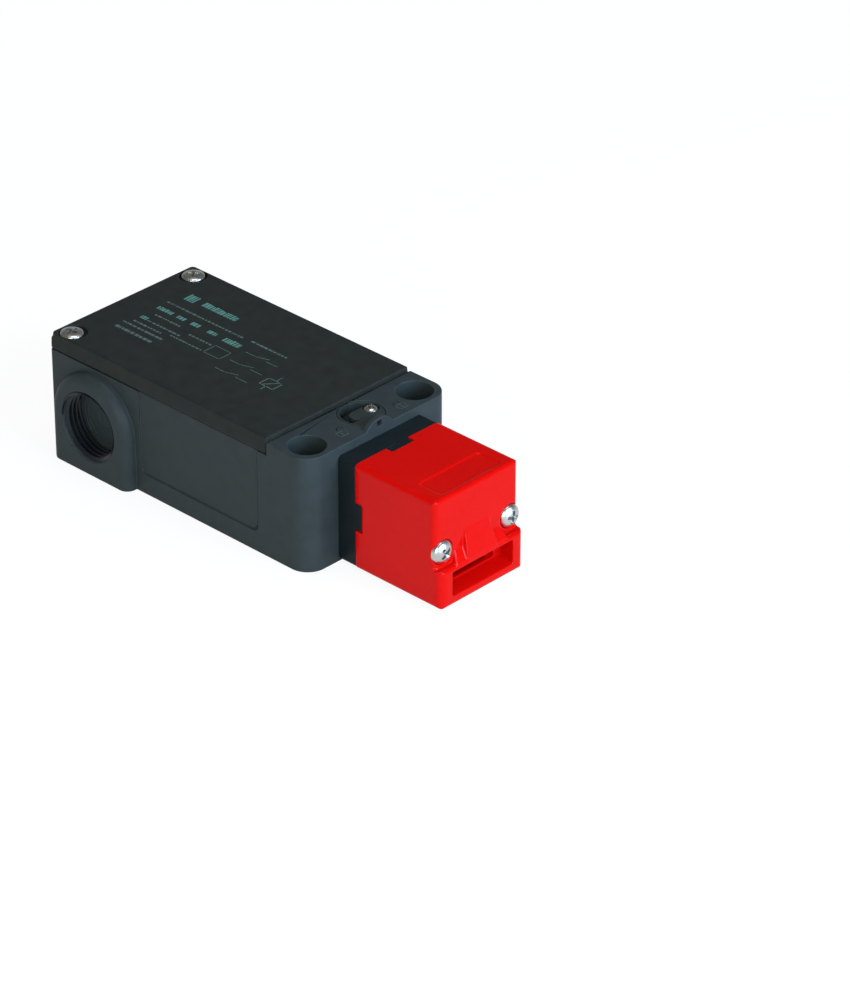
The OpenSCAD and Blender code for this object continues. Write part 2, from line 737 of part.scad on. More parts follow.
module solenoid_frame() {
    z0 = floor_t;
    z1 = 2 * axis_h - floor_t;
    color([0.6, 0.58, 0.45])
    difference() {
        block([solenoid_x - strip_w / 2, frame_y0, z0], [solenoid_x + strip_w / 2, frame_y1, z1]);
        block([solenoid_x - strip_w / 2 - 1, frame_y0 + strip_t, z0 + strip_t],
            [solenoid_x + strip_w / 2 + 1, frame_y1 - strip_t, z1 - strip_t]);
        rod_y(armature_r + 0.2, frame_y1 - strip_t - 1, frame_y1 + 1, solenoid_x, axis_h);
        rod_y(2, frame_y0 - 1, frame_y0 + strip_t + 1, solenoid_x, axis_h);
    }
}

// Fixed pole in the far end of the coil, riveted through the frame.
module solenoid_core() {
    color([0.5, 0.5, 0.52])
    union() {
        rod_y(armature_r, frame_y0 + strip_t, frame_y0 + strip_t + 2, solenoid_x, axis_h);
        rod_y(2, frame_y0, frame_y0 + strip_t + 1, solenoid_x, axis_h);
    }
}

module coil_bobbin() {
    y0 = frame_y0 + strip_t + seat_gap;
    y1 = frame_y1 - strip_t - seat_gap;
    color([0.15, 0.15, 0.16])
    difference() {
        union() {
            rod_y(armature_r + 1, y0, y1, solenoid_x, axis_h);
            rod_y(coil_r + 0.4, y0, y0 + 1, solenoid_x, axis_h);
            rod_y(coil_r + 0.4, y1 - 1, y1, solenoid_x, axis_h);
        }
        rod_y(armature_r + run_gap, y0 - 1, y1 + 1, solenoid_x, axis_h);
    }
}

module coil_winding() {
    y0 = frame_y0 + strip_t + seat_gap + 1 + seat_gap;
    y1 = frame_y1 - strip_t - seat_gap - 1 - seat_gap;
    color([0.6, 0.3, 0.15])
    difference() {
        rod_y(coil_r, y0, y1, solenoid_x, axis_h);
        rod_y(armature_r + 1 + seat_gap, y0 - 1, y1 + 1, solenoid_x, axis_h);
    }
}

module armature() {
    color([0.62, 0.63, 0.65])
    difference() {
        rod_y(armature_r, armature_y1 - armature_l, armature_y1, solenoid_x, axis_h);
        rod_y(2.3, armature_y1 - armature_l - 1, armature_y1 - armature_l + 4, solenoid_x, axis_h);
    }
}

module armature_spring() {
    y0 = frame_y0 + strip_t + 2 + seat_gap;
    y1 = armature_y1 - armature_l + 4 - seat_gap;
    color([0.7, 0.71, 0.72])
    translate([solenoid_x, y0, axis_h]) rotate([-90, 0, 0]) coil_spring(1.7, 0.3, y1 - y0, 5);
}

// Bolt on the armature's end, with the arm that the release rotor pushes: the riser and the arm
// stop short of the solenoid's frame when the bolt is drawn back.
module lock_bolt() {
    x0 = solenoid_x - bolt_w / 2;
    x1 = solenoid_x + bolt_w / 2;
    tab_y = release_y + pin_offset - pin_r - tab_gap;
    clear_y = frame_y1 + release_travel + 0.15;
    arm_z1 = arm_z0 + arm_t;
    color([0.55, 0.56, 0.58])
    union() {
        block([x0, armature_y1 + eps, axis_h - 2.6], [x1, bolt_tip_y, axis_h + 2.6]);
        block([x0, clear_y, axis_h + 2], [x1, bolt_tip_y, arm_z1]);
        block([x0, clear_y, arm_z0], [release_x + 3, clear_y + 3.2, arm_z1]);
        block([release_x - 3, clear_y, arm_z0], [release_x + 3, tab_y, arm_z1]);
    }
}

// Rotor whose top is level with the block: a pocket on one side leaves the grip bar standing.
module release_rotor() {
    z1 = block_h - 0.1;
    grip_x = 2.2;
    color([0.22, 0.26, 0.28])
    translate([release_x, release_y, 0]) difference() {
        union() {
            rod_z(release_r, channel_z1 + 2.7, z1, 0, 0);
            rod_z(stem_r, stem_z0, channel_z1 + 2.8, 0, 0);
        }
        rod_z(pin_r, stem_z0 - 1, pin_z1, 0, pin_offset);
        difference() {
            rod_z(release_r - 0.7, z1 - 3.2, z1 + 1, 0, 0);
            block([grip_x, -release_r, z1 - 4], [release_r, release_r, z1 + 1]);
            block([grip_x - grip_w, grip_w / 2 - 3.6, z1 - 4], [grip_x + 1, release_r, z1 + 2]);
            rod_z(grip_w / 2, z1 - 4, z1 + 2, grip_x - grip_w / 2, grip_w / 2 - 3.6);
        }
        rod_z(1, z1 - 5, z1 + 1, grip_x - 2.4, 3.9);
        rod_z(2.3, z1 - 1.2, z1 + 1, grip_x - 2.4, 3.9);
        difference() {
            rod_z(release_r + 1, channel_z1 + 3.6, channel_z1 + 4.8, 0, 0);
            rod_z(release_r - 0.9, channel_z1 + 3.5, channel_z1 + 4.9, 0, 0);
        }
        difference() {
            rod_z(stem_r + 1, channel_z1 - 0.1 - clip_t, channel_z1 - 0.1, 0, 0);
            rod_z(stem_r - 0.7, channel_z1 - 0.2 - clip_t, channel_z1, 0, 0);
        }
    }
}

// Eccentric pin pressed into the rotor's stem, which pushes the bolt's arm.
module release_pin() {
    color([0.6, 0.61, 0.63])
    rod_z(pin_r, arm_z0 + 0.1, pin_z1, release_x, release_y + pin_offset);
}

module release_seal() {
    color([0.1, 0.1, 0.1])
    translate([release_x, release_y, channel_z1 + 4.2]) rotate_extrude()
        translate([release_r - 0.42, 0]) circle(0.44, $fn = 24);
}

module release_clip() {
    color([0.6, 0.61, 0.63])
    translate([release_x, release_y, channel_z1 - 0.08 - clip_t]) difference() {
        cylinder(h = clip_t - 0.04, r = stem_r + 1.2);
        translate([0, 0, -1]) cylinder(h = 3, r = stem_r - 0.66);
        block([-1.6, -stem_r - 3, -1], [1.6, 0, 3]);
    }
}

module release_screw() {
    z1 = block_h - 0.1;
    color([0.75, 0.76, 0.77])
    translate([release_x + 2.2 - 2.4, release_y + 3.9, z1 - 1.2]) rotate(25)
        pan_screw(2.1, 1.5, 1, 3.4);
}

housing();
cover();
cover_gasket();
cover_screws();
collar();
head_seal();
key_head();
head_screws();
cam_axle();
key_cam();
drive_rod();
rod_spring();
contact_carrier();
contact_bridges();
contact_case();
fixed_contacts();
terminal_screws();
case_screws();
solenoid_frame();
solenoid_core();
coil_bobbin();
coil_winding();
armature();
armature_spring();
lock_bolt();
release_rotor();
release_pin();
release_seal();
release_clip();
release_screw();
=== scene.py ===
import bpy
import bmesh
import math
import numpy as np
from mathutils import Matrix, Vector


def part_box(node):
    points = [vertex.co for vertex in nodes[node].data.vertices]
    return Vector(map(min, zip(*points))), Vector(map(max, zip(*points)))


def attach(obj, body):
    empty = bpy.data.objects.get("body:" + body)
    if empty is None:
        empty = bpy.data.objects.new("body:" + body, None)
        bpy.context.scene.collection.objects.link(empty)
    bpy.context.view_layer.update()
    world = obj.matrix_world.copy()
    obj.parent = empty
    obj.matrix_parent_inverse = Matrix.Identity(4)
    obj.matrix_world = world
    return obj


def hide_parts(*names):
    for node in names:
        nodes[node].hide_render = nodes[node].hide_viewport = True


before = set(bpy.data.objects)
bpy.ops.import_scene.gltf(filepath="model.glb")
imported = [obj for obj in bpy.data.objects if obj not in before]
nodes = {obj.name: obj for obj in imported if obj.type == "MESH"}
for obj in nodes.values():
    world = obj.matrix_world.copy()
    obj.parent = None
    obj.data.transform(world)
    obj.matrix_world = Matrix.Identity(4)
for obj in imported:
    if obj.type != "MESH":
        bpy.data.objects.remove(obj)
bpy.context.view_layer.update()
mm = 0.001
print("frame loaded:", len(nodes), "nodes")


# camera, floor, world and lamps

cameraLook = {
    # Metres, three unit directions, and millimetres for the lens and the sensor.
    "place": (0.770964, -0.776522, 0.660848),
    "right": (0.72037, 0.69359, -0.00022),
    "up": (-0.35476, 0.36874, 0.85917),
    "back": (0.59599, -0.61885, 0.51169),
    "lens": 173.62,
    "sensor": 36,
    "clip": (0.01, 50),
}


def addCamera(look):
    lensData = bpy.data.cameras.new("photoCamera")
    lensData.lens = look["lens"]
    lensData.sensor_width = look["sensor"]
    lensData.clip_start, lensData.clip_end = look["clip"]
    camera = bpy.data.objects.new("photoCamera", lensData)
    bpy.context.scene.collection.objects.link(camera)
    turn = Matrix((look["right"], look["up"], look["back"])).transposed().to_4x4()
    camera.matrix_world = Matrix.Translation(look["place"]) @ turn
    bpy.context.scene.camera = camera


stageLook = {
    # The floor is a pale card that also glows: the share of glow, and its strength for the camera
    # and for gloss.
    "floorSize": 8.0,
    "floorColour": (0.86, 0.87, 0.88, 1),
    "floorGlow": 1.04,
    "floorGloss": 0.55,
    "floorGlowShare": 0.86,
    # What gloss sees near the horizon and high up, and the height range between the two.
    "skyLow": (0.36, 0.38, 0.40, 1),
    "skyHigh": (0.08, 0.08, 0.073, 1),
    "skyRise": (0.05, 0.45),
    "skyFill": 0.42,
    "fillColour": (0.97, 0.98, 1, 1),
    "aim": (-0.02, 0, 0.02),
    "lamps": {
        "frontLamp": {"place": (1.3, 0.15, 0.55), "size": 0.9, "watts": 27.0,
                      "colour": (0.60, 0.84, 1.15)},
        "nearLamp": {"place": (0.36, -0.58, 0.30), "size": 0.40, "watts": 2.3,
                     "colour": (0.97, 1.0, 0.97)},
        "topLamp": {"place": (0.1, 0.1, 1.6), "size": 0.8, "watts": 4.4,
                    "colour": (1.0, 1.0, 0.98)},
    },
}


def cameraBlend(tree, seen, reflected):
    # One value for rays from the camera and another for all other rays.
    path = tree.nodes.new("ShaderNodeLightPath")
    blend = tree.nodes.new("ShaderNodeMath")
    blend.operation = "MULTIPLY_ADD"
    blend.inputs[1].default_value = seen - reflected
    blend.inputs[2].default_value = reflected
    tree.links.new(path.outputs["Is Camera Ray"], blend.inputs[0])
    return blend.outputs[0]


def rayShare(tree):
    # One where the ray comes from the camera, a gloss or a glass surface; nought for soft light.
    path = tree.nodes.new("ShaderNodeLightPath")
    first = tree.nodes.new("ShaderNodeMath")
    first.operation = "MAXIMUM"
    tree.links.new(path.outputs["Is Camera Ray"], first.inputs[0])
    tree.links.new(path.outputs["Is Glossy Ray"], first.inputs[1])
    second = tree.nodes.new("ShaderNodeMath")
    second.operation = "MAXIMUM"
    tree.links.new(first.outputs[0], second.inputs[0])
    tree.links.new(path.outputs["Is Transmission Ray"], second.inputs[1])
    return path, second.outputs[0]


def addFloor(look):
    half = look["floorSize"] / 2
    corners = [(-half, -half, 0), (half, -half, 0), (half, half, 0), (-half, half, 0)]
    mesh = bpy.data.meshes.new("floor")
    mesh.from_pydata(corners, [], [(0, 1, 2, 3)])
    floor = bpy.data.objects.new("floor", mesh)
    bpy.context.scene.collection.objects.link(floor)
    material = bpy.data.materials.new("paleFloor")
    material.use_nodes = True
    tree = material.node_tree
    tree.nodes.clear()
    out = tree.nodes.new("ShaderNodeOutputMaterial")
    mix = tree.nodes.new("ShaderNodeMixShader")
    card = tree.nodes.new("ShaderNodeBsdfDiffuse")
    card.inputs["Color"].default_value = look["floorColour"]
    glow = tree.nodes.new("ShaderNodeEmission")
    strength = cameraBlend(tree, look["floorGlow"], look["floorGloss"])
    tree.links.new(strength, glow.inputs["Strength"])
    share = tree.nodes.new("ShaderNodeMath")
    share.operation = "MULTIPLY"
    share.inputs[1].default_value = look["floorGlowShare"]
    tree.links.new(rayShare(tree)[1], share.inputs[0])
    tree.links.new(share.outputs[0], mix.inputs[0])
    tree.links.new(card.outputs[0], mix.inputs[1])
    tree.links.new(glow.outputs[0], mix.inputs[2])
    tree.links.new(mix.outputs[0], out.inputs[0])
    mesh.materials.append(material)


def addWorld(look):
    # Soft light is even; gloss sees a pale horizon that darkens upwards; the camera sees white.
    world = bpy.data.worlds.new("studio")
    bpy.context.scene.world = world
    world.use_nodes = True
    tree = world.node_tree
    tree.nodes.clear()
    out = tree.nodes.new("ShaderNodeOutputWorld")
    coord = tree.nodes.new("ShaderNodeTexCoord")
    split = tree.nodes.new("ShaderNodeSeparateXYZ")
    tree.links.new(coord.outputs["Generated"], split.inputs[0])
    rise = tree.nodes.new("ShaderNodeMapRange")
    rise.inputs["From Min"].default_value, rise.inputs["From Max"].default_value = look["skyRise"]
    tree.links.new(split.outputs["Z"], rise.inputs["Value"])
    tint = tree.nodes.new("ShaderNodeMix")
    tint.data_type = "RGBA"
    tint.inputs[6].default_value = look["skyLow"]
    tint.inputs[7].default_value = look["skyHigh"]
    tree.links.new(rise.outputs[0], tint.inputs[0])
    glossSky = tree.nodes.new("ShaderNodeBackground")
    tree.links.new(tint.outputs[2], glossSky.inputs["Color"])
    softSky = tree.nodes.new("ShaderNodeBackground")
    softSky.inputs["Color"].default_value = look["fillColour"]
    softSky.inputs["Strength"].default_value = look["skyFill"]
    whiteSky = tree.nodes.new("ShaderNodeBackground")
    whiteSky.inputs["Color"].default_value = (1, 1, 1, 1)
    path, seen = rayShare(tree)
    pair = tree.nodes.new("ShaderNodeMixShader")
    tree.links.new(seen, pair.inputs[0])
    tree.links.new(softSky.outputs[0], pair.inputs[1])
    tree.links.new(glossSky.outputs[0], pair.inputs[2])
    final = tree.nodes.new("ShaderNodeMixShader")
    tree.links.new(path.outputs["Is Camera Ray"], final.inputs[0])
    tree.links.new(pair.outputs[0], final.inputs[1])
    tree.links.new(whiteSky.outputs[0], final.inputs[2])
    tree.links.new(final.outputs[0], out.inputs[0])


def addLamps(look):
    for name, lampLook in look["lamps"].items():
        data = bpy.data.lights.new(name, "AREA")
        data.shape = "SQUARE"
        data.size = lampLook["size"]
        data.energy = lampLook["watts"]
        data.color = lampLook["colour"]
        lamp = bpy.data.objects.new(name, data)
        bpy.context.scene.collection.objects.link(lamp)
        towards = Vector(look["aim"]) - Vector(lampLook["place"])
        lamp.location = lampLook["place"]
        lamp.rotation_euler = towards.to_track_quat("-Z", "Y").to_euler()


bpy.context.scene.view_settings.view_transform = "Standard"
addCamera(cameraLook)
addFloor(stageLook)
addWorld(stageLook)
addLamps(stageLook)
print("stage ready")


# materials

# Two close tones, a range of roughness, the scale of the grain and the height of its bump in
# millimetres; the rest are shares, and the stretch of the pattern along each axis.
finishes = {
    "housingPolymer": {"colour": (0.034, 0.044, 0.045), "shade": (0.027, 0.036, 0.037),
                       "rough": (0.38, 0.48), "specular": 0.14, "grain": 3800, "bump": 0.010},
    "coverPolymer": {"colour": (0.0225, 0.0255, 0.0225), "shade": (0.0165, 0.019, 0.017),
                     "rough": (0.34, 0.44), "specular": 0.14, "grain": 4200, "bump": 0.008},
    "collarPolymer": {"colour": (0.010, 0.015, 0.017), "shade": (0.007, 0.011, 0.013),
                      "rough": (0.34, 0.44), "specular": 0.14, "grain": 3600, "bump": 0.008},
    "redPaint": {"colour": (0.60, 0.0025, 0.0015), "shade": (0.56, 0.0018, 0.0010),
                 "rough": (0.13, 0.18), "specular": 0.07, "grain": 900, "bump": 0.008, "coat": 0.16,
                 "coatRough": 0.04},
    "zincScrew": {"colour": (0.90, 0.89, 0.85), "shade": (0.76, 0.75, 0.71), "rough": (0.24, 0.36),
                  "metallic": 1, "grain": 5200, "bump": 0.006},
    # A darker copy of the zinc for the faces of the screws' star recess: painted shade in the
    # recess.
    "recessPaintedShade": {"colour": (0.40, 0.41, 0.39), "shade": (0.20, 0.21, 0.20),
                    "rough": (0.30, 0.42), "metallic": 1, "grain": 5200, "bump": 0.006},
    "plainSteel": {"colour": (0.55, 0.55, 0.54), "shade": (0.40, 0.40, 0.40), "rough": (0.24, 0.40),
                   "metallic": 1, "grain": 3000, "bump": 0.006, "stretch": (0.08, 1, 1)},
    "springSteel": {"colour": (0.60, 0.60, 0.60), "shade": (0.42, 0.42, 0.43),
                    "rough": (0.22, 0.34), "metallic": 1, "grain": 3600, "bump": 0.004},
    "yellowZinc": {"colour": (0.66, 0.58, 0.32), "shade": (0.52, 0.50, 0.40), "rough": (0.26, 0.40),
                   "metallic": 1, "grain": 700, "bump": 0.004},
    "contactBrass": {"colour": (0.72, 0.50, 0.20), "shade": (0.56, 0.38, 0.15),
                     "rough": (0.24, 0.38), "metallic": 1, "grain": 2600, "bump": 0.004,
                     "stretch": (1, 0.1, 1)},
    "copperWinding": {"colour": (0.46, 0.16, 0.055), "shade": (0.30, 0.09, 0.03),
                      "rough": (0.28, 0.42), "metallic": 1, "grain": 2000, "bump": 0.01,
                      "stretch": (0.03, 1, 0.03), "coat": 0.5, "coatRough": 0.2},
    "palePolymer": {"colour": (0.62, 0.58, 0.47), "shade": (0.54, 0.50, 0.41),
                    "rough": (0.40, 0.52), "specular": 0.4, "grain": 3000, "bump": 0.008},
    "bobbinPolymer": {"colour": (0.02, 0.02, 0.022), "shade": (0.012, 0.012, 0.014),
                      "rough": (0.34, 0.46), "specular": 0.4, "grain": 3000, "bump": 0.006},
    "rotorPolymer": {"colour": (0.030, 0.038, 0.037), "shade": (0.022, 0.028, 0.028),
                     "rough": (0.38, 0.48), "specular": 0.16, "grain": 3800, "bump": 0.008},
    "sealRubber": {"colour": (0.012, 0.012, 0.012), "shade": (0.02, 0.02, 0.02),
                   "rough": (0.60, 0.75), "specular": 0.3, "grain": 2400, "bump": 0.010},
    "brightInk": {"colour": (0.10, 0.25, 0.215), "shade": (0.07, 0.18, 0.155),
                  "rough": (0.45, 0.55), "specular": 0.15, "grain": 3000, "bump": 0.003},
    "dimInk": {"colour": (0.095, 0.150, 0.135), "shade": (0.060, 0.095, 0.085),
               "rough": (0.45, 0.55), "specular": 0.15, "grain": 3000, "bump": 0.003},
    "faintInk": {"colour": (0.062, 0.082, 0.082), "shade": (0.046, 0.060, 0.060),
                 "rough": (0.45, 0.55), "specular": 0.15, "grain": 3000, "bump": 0.003},
    # A darker, bluer copy of the housing polymer for the thread ridges: painted shade inside the
    # cable entries, with a blue tint standing in for their sheen.
    "threadPaintedShade": {"colour": (0.012, 0.015, 0.020), "shade": (0.008, 0.010, 0.014),
                      "rough": (0.18, 0.26), "specular": 0.36, "grain": 3800, "bump": 0.004},
}

# The cloud's scale as a share of the grain's, its share of the tone, and the ranges of noise that
# are spread over the two tones and over the roughness.
finishMix = {
    "cloudScale": 0.06,
    "cloudShare": 0.55,
    "cloudDetail": 4,
    "grainDetail": 3,
    "toneRange": (0.36, 0.64),
    "roughRange": (0.3, 0.7),
    "bumpStrength": 0.6,
}


def setRange(node, side, limits):
    node.inputs[side + " Min"].default_value, node.inputs[side + " Max"].default_value = limits


def makeFinish(name, look):
    # A broad cloud mixes two close tones and sways the roughness; a fine grain gives the bump.
    # Inputs 6 and 7 of a mix node are its two colours.
    material = bpy.data.materials.new(name)
    material.use_nodes = True
    tree = material.node_tree
    shader = tree.nodes["Principled BSDF"]
    coord = tree.nodes.new("ShaderNodeTexCoord")
    place = tree.nodes.new("ShaderNodeMapping")
    place.inputs["Scale"].default_value = look.get("stretch", (1, 1, 1))
    tree.links.new(coord.outputs["Object"], place.inputs["Vector"])
    cloud = tree.nodes.new("ShaderNodeTexNoise")
    cloud.inputs["Scale"].default_value = look["grain"] * finishMix["cloudScale"]
    cloud.inputs["Detail"].default_value = finishMix["cloudDetail"]
    grain = tree.nodes.new("ShaderNodeTexNoise")
    grain.inputs["Scale"].default_value = look["grain"]
    grain.inputs["Detail"].default_value = finishMix["grainDetail"]
    tree.links.new(place.outputs[0], cloud.inputs["Vector"])
    tree.links.new(place.outputs[0], grain.inputs["Vector"])
    part = tree.nodes.new("ShaderNodeMath")
    part.operation = "MULTIPLY"
    part.inputs[1].default_value = finishMix["cloudShare"]
    tree.links.new(cloud.outputs[0], part.inputs[0])
    both = tree.nodes.new("ShaderNodeMath")
    both.operation = "MULTIPLY_ADD"
    both.inputs[1].default_value = 1 - finishMix["cloudShare"]
    tree.links.new(grain.outputs[0], both.inputs[0])
    tree.links.new(part.outputs[0], both.inputs[2])
    spread = tree.nodes.new("ShaderNodeMapRange")
    setRange(spread, "From", finishMix["toneRange"])
    tree.links.new(both.outputs[0], spread.inputs["Value"])
    tone = tree.nodes.new("ShaderNodeMix")
    tone.data_type = "RGBA"
    tone.inputs[6].default_value = (*look["shade"], 1)
    tone.inputs[7].default_value = (*look["colour"], 1)
    tree.links.new(spread.outputs[0], tone.inputs[0])
    tree.links.new(tone.outputs[2], shader.inputs["Base Color"])
    rough = tree.nodes.new("ShaderNodeMapRange")
    setRange(rough, "From", finishMix["roughRange"])
    setRange(rough, "To", look["rough"])
    tree.links.new(cloud.outputs[0], rough.inputs["Value"])
    tree.links.new(rough.outputs[0], shader.inputs["Roughness"])
    bump = tree.nodes.new("ShaderNodeBump")
    bump.inputs["Strength"].default_value = finishMix["bumpStrength"]
    bump.inputs["Distance"].default_value = look["bump"] * mm
    tree.links.new(grain.outputs[0], bump.inputs["Height"])
    tree.links.new(bump.outputs[0], shader.inputs["Normal"])
    shader.inputs["Metallic"].default_value = look.get("metallic", 0)
    shader.inputs["Specular IOR Level"].default_value = look.get("specular", 0.5)
    shader.inputs["Coat Weight"].default_value = look.get("coat", 0)
    shader.inputs["Coat Roughness"].default_value = look.get("coatRough", 0.1)
    return material


materials = {name: makeFinish(name, look) for name, look in finishes.items()}
nodeFinish = {
    "housing": "housingPolymer", "cover": "coverPolymer", "cover_gasket": "sealRubber",
    "cover_screws": "zincScrew", "collar": "collarPolymer", "head_seal": "sealRubber",
    "key_head": "redPaint", "head_screws": "zincScrew", "cam_axle": "plainSteel",
    "key_cam": "plainSteel", "drive_rod": "plainSteel", "rod_spring": "springSteel",
    "contact_carrier": "palePolymer", "contact_bridges": "contactBrass",
    "contact_case": "palePolymer", "fixed_contacts": "contactBrass",
    "terminal_screws": "zincScrew", "case_screws": "zincScrew",
    "solenoid_frame": "yellowZinc", "solenoid_core": "plainSteel", "coil_bobbin": "bobbinPolymer",
    "coil_winding": "copperWinding", "armature": "plainSteel", "armature_spring": "springSteel",
    "lock_bolt": "plainSteel", "release_rotor": "rotorPolymer", "release_pin": "plainSteel",
    "release_seal": "sealRubber", "release_clip": "springSteel", "release_screw": "zincScrew",
}
for nodeName, finishName in nodeFinish.items():
    nodes[nodeName].data.materials.clear()
    nodes[nodeName].data.materials.append(materials[finishName])
print("materials ready:", len(materials))


# mesh helpers

# Distances in metres below which points count as one, in a node's mesh and in a piece's.
nodeGap = 2e-6
pieceGap = 1e-7


def ringFaces(rows, columns, closeRows=False):
    # Quads between neighbouring rows of points, each row a closed ring. The last row can be joined
    # to the first.
    rowEnd = rows if closeRows else rows - 1
    i, j = np.meshgrid(np.arange(rowEnd), np.arange(columns), indexing="ij")
    nextI, nextJ = (i + 1) % rows, (j + 1) % columns
    quads = np.stack([i * columns + j, i * columns + nextJ,
                      nextI * columns + nextJ, nextI * columns + j], -1)
    return quads.reshape(-1, 4)


def weldMesh(mesh, gap):
    # Joins double points and turns the normals outwards.
    work = bmesh.new()
    work.from_mesh(mesh)
    bmesh.ops.remove_doubles(work, verts=work.verts, dist=gap)
    bmesh.ops.recalc_face_normals(work, faces=work.faces)
    work.to_mesh(mesh)
    work.free()


def addPiece(name, points, faces, finishName, body="switch_body", sharp=35,
             firstFaces=None):
    # A welded mesh that rides on a body. The first faces can have a finish of their own, given as
    # their number and its name.
    mesh = bpy.data.meshes.new(name)
    mesh.from_pydata(np.asarray(points).tolist(), [], [list(face) for face in faces])
    mesh.materials.append(materials[finishName])
    if firstFaces:
        mesh.materials.append(materials[firstFaces[1]])
        order = np.arange(len(mesh.polygons))
        mesh.polygons.foreach_set("material_index", (order < firstFaces[0]).astype(np.int32))
    weldMesh(mesh, pieceGap)
    mesh.shade_smooth()
    mesh.set_sharp_from_angle(angle=math.radians(sharp))
    piece = bpy.data.objects.new(name, mesh)
    bpy.context.scene.collection.objects.link(piece)
    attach(piece, body)
    return piece


def crossAxes(axis):
    # Two unit directions square to the axis and to each other.
    axis = np.array(axis, float)
    seed = np.array((0, 0, 1.0)) if abs(axis[2]) < 0.5 else np.array((1.0, 0, 0))
    first = np.cross(seed, axis)
    first /= np.linalg.norm(first)
    return first, np.cross(axis, first)


def turnedPoints(radii, heights, angles, centre, axis):
    # Points at the given radii and heights about an axis, all arrays of one shape, in millimetres.
    first, second = crossAxes(axis)
    radii, heights, angles = np.broadcast_arrays(radii, heights, angles)
    outwards = np.cos(angles)[..., None] * first + np.sin(angles)[..., None] * second
    points = outwards * radii[..., None] + heights[..., None] * np.array(axis, float)
    return (points * mm + np.array(centre)).reshape(-1, 3)


def copyOfNode(nodeName, pieceName, finishName, fills=()):
    # A copy of the node's mesh, joined along its faces and without its stored normals. Closed
    # fills can be laid into it.
    mesh = nodes[nodeName].data.copy()
    mesh.name = pieceName
    work = bmesh.new()
    work.from_mesh(mesh)
    bmesh.ops.remove_doubles(work, verts=work.verts, dist=nodeGap)
    for points, faces in fills:
        fill = bpy.data.meshes.new("fill")
        fill.from_pydata(points.tolist(), [], faces.tolist())
        weldMesh(fill, pieceGap)
        work.from_mesh(fill)
        bpy.data.meshes.remove(fill)
    work.to_mesh(mesh)
    work.free()
    if "custom_normal" in mesh.attributes:
        mesh.attributes.remove(mesh.attributes["custom_normal"])
    mesh.shade_smooth()
    mesh.materials.clear()
    mesh.materials.append(materials[finishName])
    piece = bpy.data.objects.new(pieceName, mesh)
    bpy.context.scene.collection.objects.link(piece)
    return piece


def bevelEdges(nodeName, pieceName, finishName, look, limit=33):
    # The node with every edge sharper than the limit, in degrees, rounded to the given width.
    piece = copyOfNode(nodeName, pieceName, finishName)
    bevel = piece.modifiers.new("softEdge", "BEVEL")
    bevel.width = look["edge"] * mm
    bevel.segments = 3
    bevel.limit_method = "ANGLE"
    bevel.angle_limit = math.radians(limit)
    bevel.use_clamp_overlap = False
    bevel.harden_normals = True
    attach(piece, "switch_body")
    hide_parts(nodeName)


def rollUprights(points, look):
    # Points beyond the arc of an upright front edge move onto the arc.
    p = points / mm
    for frontX, halfWidth, lowZ, highZ, r in look["uprights"]:
        across = np.stack([p[:, 0] - (frontX - r), abs(p[:, 1]) - (halfWidth - r)], 1)
        reach = np.linalg.norm(across, axis=1)
        beyond = (across.min(1) > 0) & (reach > r) & (p[:, 2] > lowZ) & (p[:, 2] < highZ)
        beyond &= p[:, 0] < frontX + look["frontSlack"]
        across *= (r / np.maximum(reach, r))[:, None]
        side = np.sign(p[:, 1]) * (across[:, 1] + halfWidth - r)
        p[:, 0] = np.where(beyond, across[:, 0] + frontX - r, p[:, 0])
        p[:, 1] = np.where(beyond, side, p[:, 1])
    return p * mm


def meltEdges(nodeName, pieceName, finishName, look, body="switch_body", fills=()):
    # The node cut into even cells and relaxed, so that each edge gets a roll about two cells wide,
    # then thinned to a share of its triangles, with normals weighted by area to keep flats flat.
    piece = copyOfNode(nodeName, pieceName, finishName, fills)
    cells = piece.modifiers.new("cells", "REMESH")
    cells.mode = "VOXEL"
    cells.voxel_size = look["cell"] * mm
    cells.use_smooth_shade = True
    if "uprights" in look:
        graph = bpy.context.evaluated_depsgraph_get()
        cut = bpy.data.meshes.new_from_object(piece.evaluated_get(graph))
        points = np.empty(len(cut.vertices) * 3)
        cut.vertices.foreach_get("co", points)
        cut.vertices.foreach_set("co", rollUprights(points.reshape(-1, 3), look).ravel())
        piece.modifiers.clear()
        piece.data = cut
        cut.name = pieceName
    relax = piece.modifiers.new("relax", "SMOOTH")
    relax.factor = 0.5
    relax.iterations = 6
    thin = piece.modifiers.new("thin", "DECIMATE")
    thin.ratio = look["share"]
    even = piece.modifiers.new("evenNormals", "WEIGHTED_NORMAL")
    even.weight = 90
    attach(piece, body)
    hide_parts(nodeName)


def nodeBox(nodeName):
    low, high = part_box(nodeName)
    return np.array(low), np.array(high)


sides = {"near": -1, "far": 1}
housingLook = {"edge": 0.30}
collarLook = {"edge": 0.22}
rotorLook = {"cell": 0.11, "share": 0.4}

coverLook = {
    "cell": 0.25,
    "share": 0.45,
    # Radius of each screw pocket, how much wider it is on the side away from the corner, its depth,
    # radius of the cover's corner, how far its side leans in over the last stretch of height, and
    # how far the fill reaches into the body and below the floor. Millimetres.
    "pocketR": 3.58,
    "pocketWider": 0.85,
    "widerPower": 1.5,
    "pocketDepth": 1.4,
    "cornerR": 1.2,
    "leanIn": 0.7,
    "leanH": 4.55,
    "body": 4.6,
    "sink": 0.4,
    "columns": 120,
}

